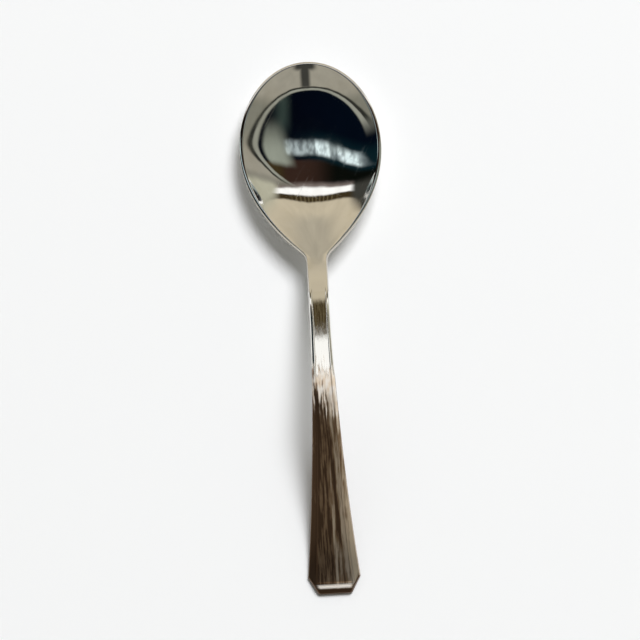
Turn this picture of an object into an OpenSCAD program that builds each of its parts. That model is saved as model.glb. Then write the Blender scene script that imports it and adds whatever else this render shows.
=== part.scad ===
// Soup spoon with a round bowl, an arched neck and a framed handle with cut corners.
// X runs across the spoon, Y runs along it towards the tip of the bowl, and Z is up from the table.
// A station is a distance from the tip of the bowl, measured along the table.

/* [Bowl] */
// Width across the rim
bowl_w = 46.8; // [38:0.2:56]
// Length of the bowl's outline, from the tip to where it would close at the neck
bowl_l = 70; // [64:0.5:76]
// Depth of the hollow below the rim
bowl_depth = 8.8; // [7:0.2:14]
// Station of the deepest point
deepest_at = 34; // [28:0.5:38]
// Thickness of the metal at the deepest point
bowl_t = 1.5; // [1:0.1:2.4]
// How much higher the rim is at the neck than at the tip
rim_rise = 3; // [1:0.1:6]
// Width of the rounded rim, seen from above
rim_w = 1.1; // [0.7:0.1:1.6]
// Height of the rim's outer edge
rim_h = 0.6; // [0.4:0.1:1]

/* [Neck and stem] */
// Width of the neck
neck_w = 6.6; // [5:0.1:9]
// Thickness of the neck
neck_t = 3.4; // [2.8:0.1:4.4]
// Size of the hollow corner between the bowl's outline and the neck
neck_fillet = 2; // [1:0.1:3]
// Station where the bowl ends and the neck begins
neck_at = 66; // [62:0.5:68]
// Station where the neck has its full thickness
thickest_at = 78; // [74:0.5:84]
// Station where the neck ends and the stem begins
stem_at = 82; // [79:0.5:86]
// Station where the neck has its steepest climb
climb_at = 72; // [70:0.5:76]
// Station of the top of the arch
arch_at = 117; // [108:0.5:122]
// Height above the table at which the climb and the fall would meet if the arch had a sharp top
arch_h = 24.8; // [20:0.1:27]
// Half the length of the rounded top of the arch
arch_round = 5; // [2:0.5:8]

/* [Handle] */
// Overall length of the spoon
spoon_l = 178; // [168:1:190]
// Station where the stem ends and the panel and its borders begin
frame_at = 112; // [104:1:124]
// Width of the handle at its widest
handle_w = 16.8; // [13:0.1:20]
// Width of the end between its cut corners
end_w = 10.7; // [8:0.1:12.5]
// Length of the cut corners
corner_l = 5.5; // [4:0.1:7]
// Thickness of the handle at its end
handle_t = 2.4; // [1.8:0.1:3]
// Height of the handle's sides
side_h = 1.9; // [1.4:0.1:2.4]
// Rounding of the handle's upper edges
edge_w = 0.45; // [0.3:0.05:0.6]

/* [Frame pattern] */
// Width of each border where the handle is widest
border_w = 3.1; // [2.4:0.1:3.8]
// How deep the panel lies below the bead
panel_recess = 0.28; // [0.1:0.02:0.4]
// How far the shoulder falls from the bead to the edge
shoulder_drop = 0.75; // [0.4:0.05:0.9]
// Length of the border across the end
end_border_l = 3.4; // [3:0.1:4.8]
// Width of the raised bar that closes the panel
end_bar_w = 0.9; // [0.8:0.1:1.4]
// Width of the groove beyond the bar
end_groove_w = 0.5; // [0.3:0.1:0.7]
// Depth of the groove beyond the bar
end_groove_d = 0.3; // [0.1:0.05:0.5]
// How far the top falls from the outer step to the end face
end_drop = 0.6; // [0.3:0.1:1]

/* [Hidden] */

// Rows and columns of the surfaces
tip_rows = 16;
bowl_rows = 15;
neck_rows = 8;
stem_rows = 12;
handle_rows = 18;
corner_rows = 2;
edge_steps = 4;

// Roundness of the outline between the widest place and the neck, and of the hollow's cross-section
outline_power = 0.86;
wall_share = 0.9;
// How far the hollow's sides are rolled outwards at the neck
roll_share = 0.8;
// Flatness of the bowl's floor and steepness of its tip
floor_share = 0.9;
tip_power = 5;
// How soon the rim climbs, and how fast the handle widens
climb_share = 0.45;
flare_power = 1.75;
// Rise of the top line for each unit of length: of the neck, before the top of the arch, and the fall after it
neck_slope_share = 0.36;
crest_slope_share = 0.185;
fall_slope_share = 0.26;
// Roundness of the handle's lower corners
keel_power = 6;
// Part of each edge height that is rounded
round_share = 0.8;
// Places across a border, as shares of its width: where the bead reaches its crest, and where the shoulder starts
crest_share = 0.18;
shoulder_share = 0.32;
border_shares = [0, 0.09, 0.18, 0.32, 0.4, 0.7, 1];
// Columns across the bowl, the neck and the stem, as shares of the half width, and the columns of the panel
half_shares = [0, 0.14, 0.28, 0.42, 0.55, 0.62, 0.67, 0.72, 0.8, 0.87, 0.94, 1];
panel_shares = [-1, -0.97, -0.5, 0, 0.5, 0.97, 1];
// Where the rim starts to merge with the neck, as a share of the bowl's length
rim_merge_share = 0.6;
// Where the handle starts to widen, and where its pattern is full, as shares of the stem's length
flare_share = 0.4;
relief_full_share = 0.5;
// Where the pattern starts, as a share of the neck's length
relief_share = 0.6;
// How far before the neck the top line leaves the rim, as a share of the distance to where the rim merges
climb_end_share = 0.1;
// The step that slopes are measured over, as a share of the rim's width
step_share = 0.005;

// The outline's curvature is the same on both sides of its widest place
widest_at = bowl_l / (1 + sqrt(2 * outline_power));
shoulder_at = spoon_l - corner_l;
end_border_at = spoon_l - end_border_l;
hollow_end_at = (thickest_at + neck_at) / 2;
rim_merge_at = bowl_l * rim_merge_share;
flare_at = stem_at + (frame_at - stem_at) * flare_share;
relief_at = neck_at + (stem_at - neck_at) * relief_share;
relief_full_at = stem_at + (frame_at - stem_at) * relief_full_share;
climb_end_at = neck_at - rim_merge_at * climb_end_share;
small_step = rim_w * step_share;
column_shares = concat([for (i = [len(half_shares) - 1 : -1 : 1]) -half_shares[i]], half_shares);

// A smooth climb from 0 to 1 as s goes from a to b
function climb(s, a, b) = let (u = min(max((s - a) / (b - a), 0), 1)) u * u * (3 - 2 * u);
// A cubic curve from z0 to z1 with slopes m0 and m1, as s goes from a to b
function cubic(s, a, b, z0, z1, m0, m1) =
    let (u = (s - a) / (b - a), k = b - a)
    z0 * (1 + 2 * u) * pow(1 - u, 2) + m0 * k * u * pow(1 - u, 2)
    + z1 * u * u * (3 - 2 * u) + m1 * k * u * u * (u - 1);
// A rounded corner of size k between two lines
function soft_max(a, b, k) = (a + b + sqrt(pow(a - b, 2) + k * k)) / 2;

// Plan outline: half widths of the bowl, of the handle before its corners are cut, and of the spoon
function bowl_half(s) = s < widest_at
    ? bowl_w / 2 * sqrt(max(1 - pow((widest_at - s) / widest_at, 2), 0))
    : let (v = 1 - pow((s - widest_at) / (bowl_l - widest_at), 2))
        bowl_w / 2 * sign(v) * pow(abs(v), outline_power);
function handle_half(s) =
    (neck_w + (handle_w - neck_w) * pow(max((s - flare_at) / (shoulder_at - flare_at), 0), flare_power)) / 2;
function uncut_half(s) = s < widest_at
    ? bowl_half(s)
    : soft_max(bowl_half(s), handle_half(min(s, shoulder_at)), neck_fillet * climb(s, widest_at, neck_at));
function outer_half(s) = s > shoulder_at
    ? handle_w / 2 - (handle_w - end_w) / 2 * (s - shoulder_at) / corner_l
    : uncut_half(s);

// Width of the rounded edge, and the half width and station of its inner line
function edge_of(s) = rim_w + (edge_w - rim_w) * climb(s, rim_merge_at, thickest_at);
function half_slope(s) =
    let (a = max(s - small_step, widest_at), b = min(s + small_step, spoon_l))
    (outer_half(b) - outer_half(a)) / (b - a);
function inner_half(s) = s < widest_at
    ? outer_half(s) * (1 - rim_w / (bowl_w / 2))
    : outer_half(s) - edge_of(s) * sqrt(1 + pow(half_slope(s), 2));
function inner_at(s) = s < widest_at ? widest_at - (widest_at - s) * (1 - rim_w / widest_at) : s;

// Height of the rim and of the handle's top before they are set down on the table
function rim_line(s) = rim_rise * (climb_share * s / bowl_l + (1 - climb_share) * pow(s / bowl_l, 2));
function rim_slope(s) = rim_rise / bowl_l * (climb_share + 2 * (1 - climb_share) * s / bowl_l);
// Share of the full depth on the bowl's centre line, the outline closing at station c
function depth_share(s, c, closed) = s < deepest_at
    ? let (u = (deepest_at - s) / (deepest_at - c), k = floor_share * pow((deepest_at - c) / (closed - deepest_at), 2))
        1 - k * u * u - (1 - k) * pow(u, tip_power)
    : let (u = min((s - deepest_at) / (closed - deepest_at), 1))
        1 - floor_share * pow(u, 2) - (3 - 2 * floor_share) * pow(u, 4) + (2 - floor_share) * pow(u, 6);
// Share of the depth at a share q of the half width. Near the neck the hollow's sides roll outwards.
function bowl_wall(q) = 1 - wall_share * q * q - (1 - wall_share) * pow(q, 4);
function wall(q, s) =
    bowl_wall(q) + roll_share * climb(s, rim_merge_at, neck_at) * (pow(1 - q * q, 2) - bowl_wall(q));
function hollow(s) = bowl_depth * depth_share(s, rim_w, hollow_end_at);
function metal(s) = s < thickest_at
    ? bowl_t + (neck_t - bowl_t) * climb(s, rim_merge_at, thickest_at)
    : neck_t + (handle_t - neck_t) * climb(s, thickest_at, shoulder_at);
function edge_h(s) = rim_h + (side_h - rim_h) * climb(s, rim_merge_at, thickest_at);
// Depth of the underside's dish below the lower edge of the side
function keel(s) = s < deepest_at
    ? (bowl_depth + bowl_t - rim_h) * depth_share(s, 0, hollow_end_at)
    : hollow(s) + metal(s) - edge_h(s);

// Stations of the bowl's rows, closer together near the tip
tip_stations = [for (i = [0 : tip_rows]) widest_at * (1 - cos(90 * i / tip_rows))];
bowl_stations = concat(tip_stations, [for (i = [1 : bowl_rows]) widest_at + (neck_at - widest_at) * i / bowl_rows]);
// The bowl's lowest row touches the table
rim_base = -min([for (s = bowl_stations) rim_line(s) - edge_h(s) - keel(s)]);

// The top line with a corner where the climb and the fall meet, and its slope
climb_h = rim_base + rim_line(climb_end_at)
    + (climb_at - climb_end_at) * (rim_slope(climb_end_at) + neck_slope_share) / 2;
function neck_line(s) = cubic(
    s, climb_end_at, climb_at, rim_base + rim_line(climb_end_at), climb_h, rim_slope(climb_end_at), neck_slope_share
);
function unrounded(s) = s < climb_end_at
    ? rim_base + rim_line(s)
    : s < climb_at
    ? neck_line(s)
    : s < arch_at
    ? cubic(s, climb_at, arch_at, climb_h, arch_h, neck_slope_share, crest_slope_share)
    : s < end_border_at ? cubic(s, arch_at, end_border_at, arch_h, handle_t, -fall_slope_share, 0) : handle_t;
function unrounded_slope(s) = (unrounded(s + small_step) - unrounded(s - small_step)) / (2 * small_step);
// Height of the rim and of the handle's top above the table
crest_start = arch_at - arch_round;
crest_end = arch_at + arch_round;
crest_heights = [unrounded(crest_start), unrounded(crest_end)];
crest_slopes = [unrounded_slope(crest_start), unrounded_slope(crest_end)];
function top_line(s) = abs(s - arch_at) < arch_round
    ? cubic(s, crest_start, crest_end, crest_heights[0], crest_heights[1], crest_slopes[0], crest_slopes[1])
    : unrounded(s);

// Raised pattern of the handle: sunk panel, bead and falling shoulder
function panel_half(s) = uncut_half(s) * (1 - border_w / (handle_w / 2));
function relief(x, s) =
    let (
        fade = climb(s, relief_at, relief_full_at),
        r = (abs(x) - panel_half(s)) / (uncut_half(s) - panel_half(s)),
        sunk = panel_recess * (1 - climb(r, 0, crest_share)),
        fall = shoulder_drop * max((r - shoulder_share) / (1 - shoulder_share), 0)
    )
    -fade * (sunk + fall);

// Points of the top, of the underside and of the rounded edge on one side
function top_z(x, s, q) = top_line(s) - hollow(s) * wall(q, s) + relief(x, s);
function top_point(s, x) =
    let (t = inner_at(s), q = inner_half(s) > 0 ? x / inner_half(s) : 1)
    [x, spoon_l / 2 - t, top_z(x, t, q)];
function keel_wall(s, q) =
    let (f = climb(s, rim_merge_at, thickest_at))
    (1 - f) * wall(q, s) + f * (1 - pow(abs(q), keel_power));
function under_point(s, x) =
    let (q = outer_half(s) > 0 ? x / outer_half(s) : 1)
    [x, spoon_l / 2 - s, top_line(s) - edge_h(s) - keel(s) * keel_wall(s, q)];
function edge_point(s, side, k) =
    let (
        inner = top_point(s, side * inner_half(s)),
        lower = top_line(s) - edge_h(s),
        a = 90 * k / edge_steps
    )
    [
        inner[0] + (side * outer_half(s) - inner[0]) * sin(a),
        inner[1] + (spoon_l / 2 - s - inner[1]) * sin(a),
        inner[2] - (inner[2] - lower) * round_share * (1 - cos(a))
    ];

// One closed ring of points at a station: top from left to right, right edge, underside and left edge
function ring(s, shares) = concat(
    [for (c = shares) top_point(s, c * inner_half(s))],
    [for (k = [1 : edge_steps]) edge_point(s, 1, k)],
    [for (i = [len(shares) - 1 : -1 : 0]) under_point(s, shares[i] * outer_half(s))],
    [for (k = [edge_steps : -1 : 1]) edge_point(s, -1, k)]
);
// A ring of the panel or of a border, which its neighbours close with upright faces
function panel_ring(s) = let (h = panel_half(s)) concat(
    [for (c = panel_shares) top_point(s, c * h)],
    [for (i = [len(panel_shares) - 1 : -1 : 0]) under_point(s, panel_shares[i] * h)]
);
function border_ring(s) = let (h = panel_half(s), top_w = inner_half(s) - h, under_w = outer_half(s) - h) concat(
    [for (c = border_shares) top_point(s, h + c * top_w)],
    [for (k = [1 : edge_steps]) edge_point(s, 1, k)],
    [for (i = [len(border_shares) - 1 : -1 : 0]) under_point(s, h + border_shares[i] * under_w)]
);

// Faces between neighbouring rings of n points
function side_faces(rows, n) = [
    for (j = [0 : rows - 2]) for (i = [0 : n - 1])
        let (a = j * n + i, b = j * n + (i + 1) % n, c = a + n, d = b + n)
            each [[a, b, d], [a, d, c]]
];
// Faces that close a ring: strips between the top's m points and the underside's, and fans for the edge points
function cap_faces(m, right, left) = let (under = 2 * m + right - 1) concat(
    [for (i = [0 : m - 2]) each [[i, i + 1, under - i - 1], [i, under - i - 1, under - i]]],
    right == 0 ? [] : [for (k = [0 : right - 1]) [m + right, m - 1 + k, m + k]],
    left == 0 ? [] : [for (k = [1 : left]) [under, under + k, (under + k + 1) % (under + left + 1)]]
);
function moved(faces, by) = [for (f = faces) [for (i = f) i + by]];
function turned(faces) = [for (f = faces) [f[0], f[2], f[1]]];
// A solid through rings of equal length, the first ring nearest the tip
module loft(rings, m, right, left) {
    n = len(rings[0]);
    cap = cap_faces(m, right, left);
    polyhedron(
        points = [for (r = rings) each r],
        faces = concat(turned(cap), side_faces(len(rings), n), moved(cap, (len(rings) - 1) * n))
    );
}

function steps(a, b, n) = [for (i = [0 : n]) a + (b - a) * i / n];

module bowl() {
    // At the tip the first ring shrinks to the line that runs over the rim, so its faces are made apart
    m = len(column_shares);
    n = 2 * m + 2 * edge_steps;
    rings = [for (i = [1 : len(bowl_stations) - 1]) ring(bowl_stations[i], column_shares)];
    tip = concat([top_point(0, 0)], [for (k = [1 : edge_steps]) edge_point(0, 1, k)], [under_point(0, 0)]);
    tip_index = concat(
        [for (i = [1 : m]) 0],
        [for (k = [1 : edge_steps]) k],
        [for (i = [1 : m]) edge_steps + 1],
        [for (k = [edge_steps : -1 : 1]) k]
    );
    tip_faces = [
        for (i = [0 : n - 1])
            let (j = (i + 1) % n, a = tip_index[i], b = tip_index[j], c = len(tip) + i, d = len(tip) + j)
                each concat(a == b ? [] : [[a, b, d]], [[a, d, c]])
    ];
    cap = cap_faces(m, edge_steps, edge_steps);
    color("silver") polyhedron(
        points = concat(tip, [for (r = rings) each r]),
        faces = concat(
            tip_faces,
            moved(side_faces(len(rings), n), len(tip)),
            moved(cap, len(tip) + (len(rings) - 1) * n)
        )
    );
}
module bar(from, to, rows) {
    rings = [for (s = steps(from, to, rows)) ring(s, column_shares)];
    loft(rings, len(column_shares), edge_steps, edge_steps);
}
module neck() {
    color("gainsboro") bar(neck_at, stem_at, neck_rows);
}
module stem() {
    color("silver") bar(stem_at, frame_at, stem_rows);
}
module handle_panel() {
    rings = [for (s = steps(frame_at, end_border_at, handle_rows)) panel_ring(s)];
    color("darkgray") loft(rings, len(panel_shares), 0, 0);
}
module border() {
    stations = concat(
        steps(frame_at, shoulder_at, handle_rows),
        [for (i = [1 : corner_rows]) shoulder_at + (end_border_at - shoulder_at) * i / corner_rows]
    );
    color("gainsboro") loft([for (s = stations) border_ring(s)], len(border_shares), edge_steps, 0);
}
module right_border() {
    border();
}
module left_border() {
    mirror([1, 0, 0]) border();
}

// Outline of the end seen from the side, from its face towards the bowl: step, groove and bar
function end_side() =
    let (bar_at = end_border_l - end_bar_w, groove_at = bar_at - end_groove_w)
    [
        [0, 0],
        [0, handle_t - end_drop],
        [groove_at - end_groove_w, handle_t],
        [groove_at, handle_t],
        [groove_at + end_groove_w / 2, handle_t - end_groove_d],
        [bar_at, handle_t],
        [end_border_l - panel_recess, handle_t],
        [end_border_l, handle_t - panel_recess],
        [end_border_l, 0]
    ];
// Half of its outline seen along the handle: flat top, falling shoulder, side and lower corner
function end_across() =
    let (w = handle_w / 2, low = handle_t - side_h)
    [
        [w - border_w * (1 - shoulder_share), handle_t],
        [w, handle_t - shoulder_drop],
        [w, low],
        [w - low, 0]
    ];
function mirrored(points) = [for (i = [len(points) - 1 : -1 : 0]) [-points[i][0], points[i][1]]];
module end_border() {
    half = outer_half(end_border_at);
    color("gray") translate([0, -spoon_l / 2, 0]) intersection() {
        translate([-handle_w / 2, 0, 0]) rotate([90, 0, 90]) linear_extrude(handle_w) polygon(end_side());
        translate([0, end_border_l, 0]) rotate([90, 0, 0]) linear_extrude(end_border_l)
            polygon(concat(end_across(), mirrored(end_across())));
        linear_extrude(handle_t)
            polygon([[-end_w / 2, 0], [end_w / 2, 0], [half, end_border_l], [-half, end_border_l]]);
    }
}

bowl();
neck();
stem();
handle_panel();
left_border();
right_border();
end_border();
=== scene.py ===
"""Looks of the soup spoon: bright silver plate with hairline scratches and a brown film on its handle.

Sizes are in millimetres until they reach a mesh, a material or a place in the scene. X runs across the
spoon, Y along it towards the tip of the bowl, and Z up from the table. A station is a distance from the tip
of the bowl, measured along the table.
"""

import math

import bpy
import numpy as np
from mathutils import Matrix, Vector


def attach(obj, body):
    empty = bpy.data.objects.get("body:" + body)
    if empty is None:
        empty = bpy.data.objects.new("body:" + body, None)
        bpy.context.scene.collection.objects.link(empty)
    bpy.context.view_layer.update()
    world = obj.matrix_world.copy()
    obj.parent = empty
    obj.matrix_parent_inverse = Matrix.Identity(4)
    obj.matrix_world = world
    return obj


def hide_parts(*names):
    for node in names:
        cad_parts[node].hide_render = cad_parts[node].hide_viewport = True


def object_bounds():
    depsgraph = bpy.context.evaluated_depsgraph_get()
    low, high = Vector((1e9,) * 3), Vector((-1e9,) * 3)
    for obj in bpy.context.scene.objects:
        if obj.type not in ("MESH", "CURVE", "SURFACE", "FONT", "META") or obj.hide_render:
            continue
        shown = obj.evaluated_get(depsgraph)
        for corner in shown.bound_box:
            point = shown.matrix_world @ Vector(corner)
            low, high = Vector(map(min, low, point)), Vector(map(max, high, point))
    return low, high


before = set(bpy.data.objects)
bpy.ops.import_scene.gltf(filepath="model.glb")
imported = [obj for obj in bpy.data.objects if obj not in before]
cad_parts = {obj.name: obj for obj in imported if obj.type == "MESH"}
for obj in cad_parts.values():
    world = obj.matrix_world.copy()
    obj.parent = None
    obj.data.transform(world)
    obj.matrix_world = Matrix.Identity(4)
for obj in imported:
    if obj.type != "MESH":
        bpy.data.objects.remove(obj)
cad_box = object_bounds()
MM = 0.001

# Overall size, from the frame
SPOON_L = (cad_box[1].y - cad_box[0].y) / MM
BOWL_W = (cad_box[1].x - cad_box[0].x) / MM

# Bowl
BOWL_L = 70
BOWL_DEPTH = 8.8
DEEPEST_AT = 34
BOWL_T = 1.5
RIM_RISE = 3
RIM_W = 1.1
RIM_H = 0.6

# Neck and stem
NECK_W = 6.6
NECK_T = 3.4
NECK_FILLET = 2
NECK_AT = 66
THICKEST_AT = 78
STEM_AT = 82
CLIMB_AT = 72
ARCH_AT = 117
ARCH_H = 24.8
ARCH_ROUND = 5

# Handle and its frame pattern
FRAME_AT = 112
HANDLE_W = 16.8
END_W = 10.7
CORNER_L = 5.5
HANDLE_T = 2.4
SIDE_H = 1.9
EDGE_W = 0.45
BORDER_W = 3.1
PANEL_RECESS = 0.28
SHOULDER_DROP = 0.75
END_BORDER_L = 3.4
END_BAR_W = 0.9
END_GROOVE_W = 0.5
END_GROOVE_D = 0.3
END_DROP = 0.6
END_ROUND = 0.4

# Curves of the outline and of the sections, as shares and powers
OUTLINE_POWER = 0.86
WALL_SHARE = 0.9
ROLL_SHARE = 0.8
FLOOR_SHARE = 0.9
TIP_POWER = 5
CLIMB_SHARE = 0.45
NECK_SLOPE_SHARE = 0.36
CREST_SLOPE_SHARE = 0.185
FALL_SLOPE_SHARE = 0.26
FLARE_POWER = 1.75
KEEL_POWER = 6
ROUND_SHARE = 0.8
CREST_SHARE = 0.18
SHOULDER_SHARE = 0.32
RIM_MERGE_SHARE = 0.6
FLARE_SHARE = 0.4
RELIEF_SHARE = 0.6
RELIEF_FULL_SHARE = 0.5
CLIMB_END_SHARE = 0.1

# Stations worked out from the sizes
WIDEST_AT = BOWL_L / (1 + math.sqrt(2 * OUTLINE_POWER))
SHOULDER_AT = SPOON_L - CORNER_L
END_BORDER_AT = SPOON_L - END_BORDER_L
HOLLOW_END_AT = (THICKEST_AT + NECK_AT) / 2
RIM_MERGE_AT = BOWL_L * RIM_MERGE_SHARE
FLARE_AT = STEM_AT + (FRAME_AT - STEM_AT) * FLARE_SHARE
RELIEF_AT = NECK_AT + (STEM_AT - NECK_AT) * RELIEF_SHARE
RELIEF_FULL_AT = STEM_AT + (FRAME_AT - STEM_AT) * RELIEF_FULL_SHARE
CLIMB_END_AT = NECK_AT - RIM_MERGE_AT * CLIMB_END_SHARE

# Rows along the spoon and columns across it
TIP_ROWS = 64
BOWL_ROWS = 64
NECK_ROWS = 28
STEM_ROWS = 44
HANDLE_ROWS = 84
CORNER_ROWS = 10
END_ROWS = 34
ROUND_ROWS = 5
PANEL_COLUMNS = 40
BEAD_COLUMNS = 6
CREST_COLUMNS = 4
SLOPE_COLUMNS = 14
EDGE_COLUMNS = 8

# A slope is measured over a small part of the rim's width or of the arch's rounding
SLOPE_PARTS = 200

# Samples in the search for the bowl's lowest point, and a length too small to matter
LOWEST_SAMPLES = 2000
TINY = 1e-12


def climb(s, a, b):
    """Smooth climb from 0 to 1 as s goes from a to b."""
    u = np.clip((s - a) / (b - a), 0, 1)
    return u * u * (3 - 2 * u)


def cubic(s, a, b, z0, z1, m0, m1):
    """Cubic curve from z0 to z1 with slopes m0 and m1, as s goes from a to b."""
    u = (s - a) / (b - a)
    k = b - a
    start = z0 * (1 + 2 * u) * (1 - u) ** 2 + m0 * k * u * (1 - u) ** 2
    return start + z1 * u * u * (3 - 2 * u) + m1 * k * u * u * (u - 1)


def soft_max(a, b, k):
    """Larger of two values, with a rounded corner of size k between them."""
    return (a + b + np.sqrt((a - b) ** 2 + k * k)) / 2


def bowl_half(s):
    near = np.sqrt(np.maximum(1 - ((WIDEST_AT - s) / WIDEST_AT) ** 2, 0))
    v = 1 - ((s - WIDEST_AT) / (BOWL_L - WIDEST_AT)) ** 2
    return BOWL_W / 2 * np.where(s < WIDEST_AT, near, np.sign(v) * np.abs(v) ** OUTLINE_POWER)


def handle_half(s):
    share = np.maximum((s - FLARE_AT) / (SHOULDER_AT - FLARE_AT), 0)
    return (NECK_W + (HANDLE_W - NECK_W) * share**FLARE_POWER) / 2


def uncut_half(s):
    """Half width of the outline before the handle's corners are cut."""
    fillet = NECK_FILLET * climb(s, WIDEST_AT, NECK_AT)
    joined = soft_max(bowl_half(s), handle_half(np.minimum(s, SHOULDER_AT)), fillet)
    return np.where(s < WIDEST_AT, bowl_half(s), joined)


def outer_half(s):
    cut = HANDLE_W / 2 - (HANDLE_W - END_W) / 2 * (s - SHOULDER_AT) / CORNER_L
    return np.where(s > SHOULDER_AT, cut, uncut_half(s))


def inner_half(s):
    """Half width of the inner line of the rounded edge."""
    edge = RIM_W + (EDGE_W - RIM_W) * climb(s, RIM_MERGE_AT, THICKEST_AT)
    step = RIM_W / SLOPE_PARTS
    a = np.maximum(s - step, WIDEST_AT)
    b = np.minimum(s + step, SPOON_L)
    slope = (outer_half(b) - outer_half(a)) / np.where(b > a, b - a, 1)
    return np.where(
        s < WIDEST_AT,
        outer_half(s) * (1 - RIM_W / (BOWL_W / 2)),
        outer_half(s) - edge * np.sqrt(1 + slope**2),
    )


def inner_at(s):
    return np.where(s < WIDEST_AT, WIDEST_AT - (WIDEST_AT - s) * (1 - RIM_W / WIDEST_AT), s)


def rim_line(s):
    return RIM_RISE * (CLIMB_SHARE * s / BOWL_L + (1 - CLIMB_SHARE) * (s / BOWL_L) ** 2)


def rim_slope(s):
    return RIM_RISE / BOWL_L * (CLIMB_SHARE + 2 * (1 - CLIMB_SHARE) * s / BOWL_L)


def depth_share(s, c, closed):
    """Share of the full depth on the bowl's centre line, the hollow starting at c and ending at closed."""
    k = FLOOR_SHARE * ((DEEPEST_AT - c) / (closed - DEEPEST_AT)) ** 2
    u = np.maximum((DEEPEST_AT - s) / (DEEPEST_AT - c), 0)
    v = np.clip((s - DEEPEST_AT) / (closed - DEEPEST_AT), 0, 1)
    tip_side = 1 - k * u**2 - (1 - k) * u**TIP_POWER
    neck_side = 1 - FLOOR_SHARE * v**2 - (3 - 2 * FLOOR_SHARE) * v**4 + (2 - FLOOR_SHARE) * v**6
    return np.where(s < DEEPEST_AT, tip_side, neck_side)


def wall(q, s):
    """Share of the depth at a share q of the half width. Near the neck the sides roll outwards."""
    bowl_wall = 1 - WALL_SHARE * q**2 - (1 - WALL_SHARE) * q**4
    rolled = (1 - q**2) ** 2
    return bowl_wall + ROLL_SHARE * climb(s, RIM_MERGE_AT, NECK_AT) * (rolled - bowl_wall)


def hollow(s):
    return BOWL_DEPTH * depth_share(s, RIM_W, HOLLOW_END_AT)


def metal(s):
    near = BOWL_T + (NECK_T - BOWL_T) * climb(s, RIM_MERGE_AT, THICKEST_AT)
    far = NECK_T + (HANDLE_T - NECK_T) * climb(s, THICKEST_AT, SHOULDER_AT)
    return np.where(s < THICKEST_AT, near, far)


def edge_h(s):
    return RIM_H + (SIDE_H - RIM_H) * climb(s, RIM_MERGE_AT, THICKEST_AT)


def keel(s):
    """Depth of the underside's dish below the lower edge of the side."""
    tip_side = (BOWL_DEPTH + BOWL_T - RIM_H) * depth_share(s, 0, HOLLOW_END_AT)
    return np.where(s < DEEPEST_AT, tip_side, hollow(s) + metal(s) - edge_h(s))


def under_line(s):
    return rim_line(s) - edge_h(s) - keel(s)


RIM_BASE = -np.min(under_line(np.linspace(0, NECK_AT, LOWEST_SAMPLES)))


def top_line(s):
    """Height of the rim and of the handle's top above the table."""
    crest_start = ARCH_AT - ARCH_ROUND
    crest_end = ARCH_AT + ARCH_ROUND
    start, start_slope = near_arch(crest_start)
    end, end_slope = near_arch(crest_end)
    crest = cubic(s, crest_start, crest_end, start, end, start_slope, end_slope)
    return np.where(np.abs(s - ARCH_AT) < ARCH_ROUND, crest, unrounded(s))


def unrounded(s):
    """The top line with a corner where the climb and the fall meet."""
    rim = RIM_BASE + rim_line(s)
    rim_end = RIM_BASE + rim_line(CLIMB_END_AT)
    climb_h = rim_end + (CLIMB_AT - CLIMB_END_AT) * (rim_slope(CLIMB_END_AT) + NECK_SLOPE_SHARE) / 2
    turn = cubic(s, CLIMB_END_AT, CLIMB_AT, rim_end, climb_h, rim_slope(CLIMB_END_AT), NECK_SLOPE_SHARE)
    rise = cubic(s, CLIMB_AT, ARCH_AT, climb_h, ARCH_H, NECK_SLOPE_SHARE, CREST_SLOPE_SHARE)
    fall = cubic(s, ARCH_AT, END_BORDER_AT, ARCH_H, HANDLE_T, -FALL_SLOPE_SHARE, 0)
    places = [s < CLIMB_END_AT, s < CLIMB_AT, s < ARCH_AT, s < END_BORDER_AT]
    return np.select(places, [rim, turn, rise, fall], HANDLE_T)


def near_arch(s):
    """Height and slope of the unrounded top line."""
    step = ARCH_ROUND / SLOPE_PARTS
    return unrounded(s), (unrounded(s + step) - unrounded(s - step)) / (2 * step)


def panel_half(s):
    return uncut_half(s) * (1 - BORDER_W / (HANDLE_W / 2))


def end_fall(b):
    """Fall of the top at a distance b beyond the panel's end: bar, groove, step and slope."""
    groove_at = END_BAR_W + END_GROOVE_W
    places = [END_BAR_W, END_BAR_W + END_GROOVE_W / 2, groove_at, groove_at + END_GROOVE_W, END_BORDER_L]
    return np.interp(b, places, [0, END_GROOVE_D, 0, 0, END_DROP])


def relief(x, s):
    """Raised pattern of the handle: sunk panel, bead, falling shoulder and the bars across the end."""
    fade = climb(s, RELIEF_AT, RELIEF_FULL_AT)
    r = (np.abs(x) - panel_half(s)) / (uncut_half(s) - panel_half(s))
    beyond = s - END_BORDER_AT
    bead = np.maximum(climb(r, 0, CREST_SHARE), climb(beyond, 0, PANEL_RECESS))
    fall = SHOULDER_DROP * np.maximum((r - SHOULDER_SHARE) / (1 - SHOULDER_SHARE), 0)
    return -fade * (PANEL_RECESS * (1 - bead) + np.maximum(fall, end_fall(beyond)))


def row_stations():
    """Stations of all rows, and the number of the row where each piece ends."""
    tip = WIDEST_AT * (1 - np.cos(np.linspace(0, math.pi / 2, TIP_ROWS + 1)))
    spans = [
        (WIDEST_AT, NECK_AT, BOWL_ROWS),
        (NECK_AT, STEM_AT, NECK_ROWS),
        (STEM_AT, FRAME_AT, STEM_ROWS),
        (FRAME_AT, SHOULDER_AT, HANDLE_ROWS),
        (SHOULDER_AT, END_BORDER_AT, CORNER_ROWS),
        (END_BORDER_AT, SPOON_L - END_ROUND, END_ROWS),
    ]
    rows = [tip] + [np.linspace(a, b, n + 1)[1:] for a, b, n in spans]
    turn = np.linspace(0, math.pi / 2, ROUND_ROWS + 1)[1:]
    rows.append(SPOON_L - END_ROUND * (1 - np.sin(turn)))
    ends = np.cumsum([len(r) for r in rows]) - 1
    names = ["tip", "bowl", "neck", "stem", "handle", "corner", "end", "round"]
    return np.concatenate(rows), dict(zip(names, ends.tolist()))


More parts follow.
